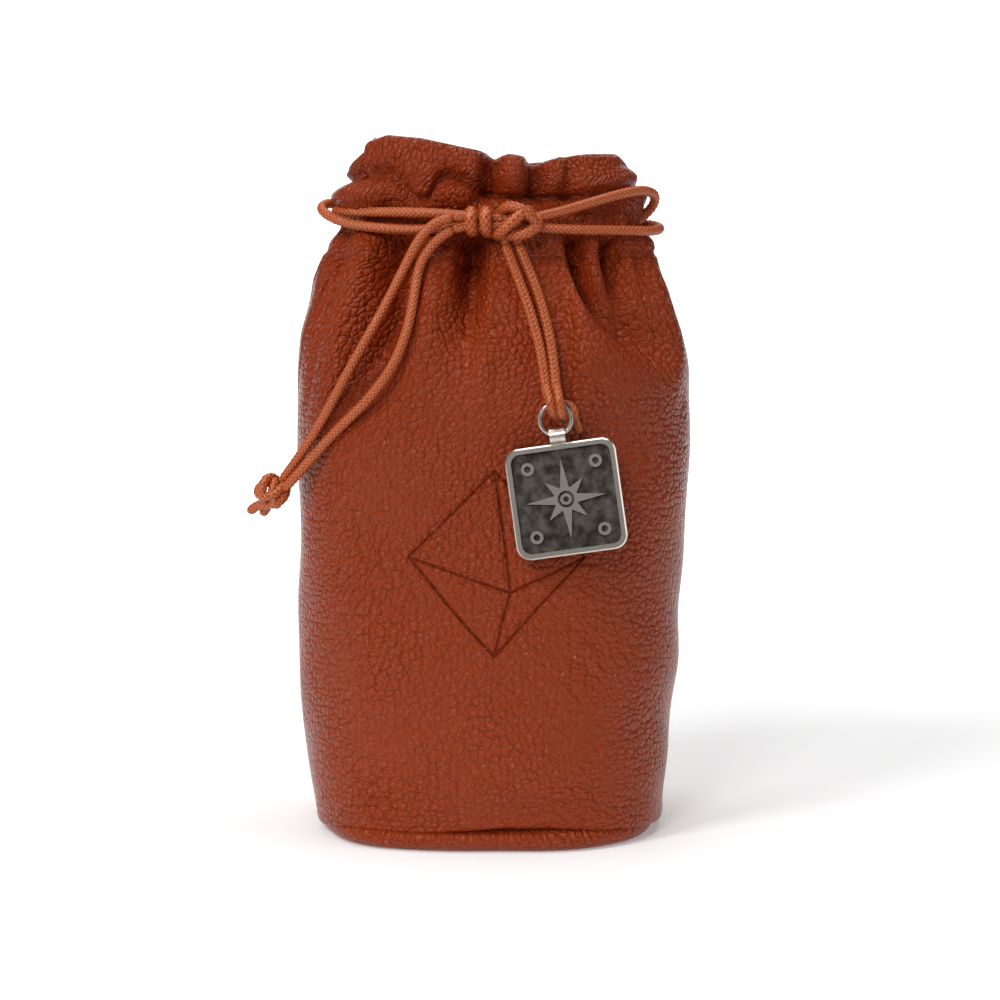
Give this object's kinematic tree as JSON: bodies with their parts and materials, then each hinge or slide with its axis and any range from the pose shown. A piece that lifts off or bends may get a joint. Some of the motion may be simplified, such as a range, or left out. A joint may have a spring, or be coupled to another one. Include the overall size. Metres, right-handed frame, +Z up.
{
  "type": "drawstring pouch",
  "caption": "Upright leather drawstring pouch with a round flat base, folded channel hem, knotted satin drawcords and a square metal charm on a jump ring.",
  "frame": {"origin": "middle of the base panel's underside, where the pouch stands", "axes": "+Z up, the tied front with the charm faces -Y, +X to the right of the front"},
  "size_m": [0.1035, 0.0812, 0.1645],
  "materials": {
    "leather": "pebbled, soft satin",
    "thread": "matte",
    "cord": "shiny braided satin",
    "ring_metal": "antique silver, satin",
    "charm_metal": "antique silver, dark in the recesses"
  },
  "bodies": {
    "bag": {"front_panel": "leather", "back_panel": "leather", "base_panel": "leather", "front_channel_thread": "thread", "back_channel_thread": "thread", "left_seam_thread": "thread", "right_seam_thread": "thread", "base_seam_thread": "thread", "left_drawcord": "cord", "right_drawcord": "cord", "centre_knot": "cord"},
    "left_tail": {"left_tail_upper": "cord", "left_tail_lower": "cord", "stopper_knot": "cord"},
    "charm_strands": {"charm_cord_left": "cord", "charm_cord_right": "cord", "ring_loops": "cord", "charm_knot": "cord"},
    "ring": {"jump_ring": "ring_metal"},
    "charm": {"charm_plate": "charm_metal", "charm_bail": "charm_metal"}
  },
  "joints": [
    {"name": "left_tail_lift", "type": "hinge", "parent": "bag", "child": "left_tail", "pos_m": [-0.0096, -0.0212, 0.145], "axis": [-1, 0, 0], "range_deg": [0, 110]},
    {"name": "charm_strands_lift", "type": "hinge", "parent": "bag", "child": "charm_strands", "pos_m": [0.0039, -0.02, 0.1388], "axis": [-1, 0, 0], "range_deg": [0, 80]},
    {"name": "ring_swing", "type": "hinge", "parent": "charm_strands", "child": "ring", "pos_m": [0.01329, -0.03519, 0.10312], "axis": [-0.9849, 0.0906, -0.1472], "range_deg": [0, 80]},
    {"name": "charm_swing", "type": "hinge", "parent": "ring", "child": "charm", "pos_m": [0.01429, -0.03592, 0.09599], "axis": [-0.9849, 0.0906, -0.1472], "range_deg": [0, 80]}
  ]
}
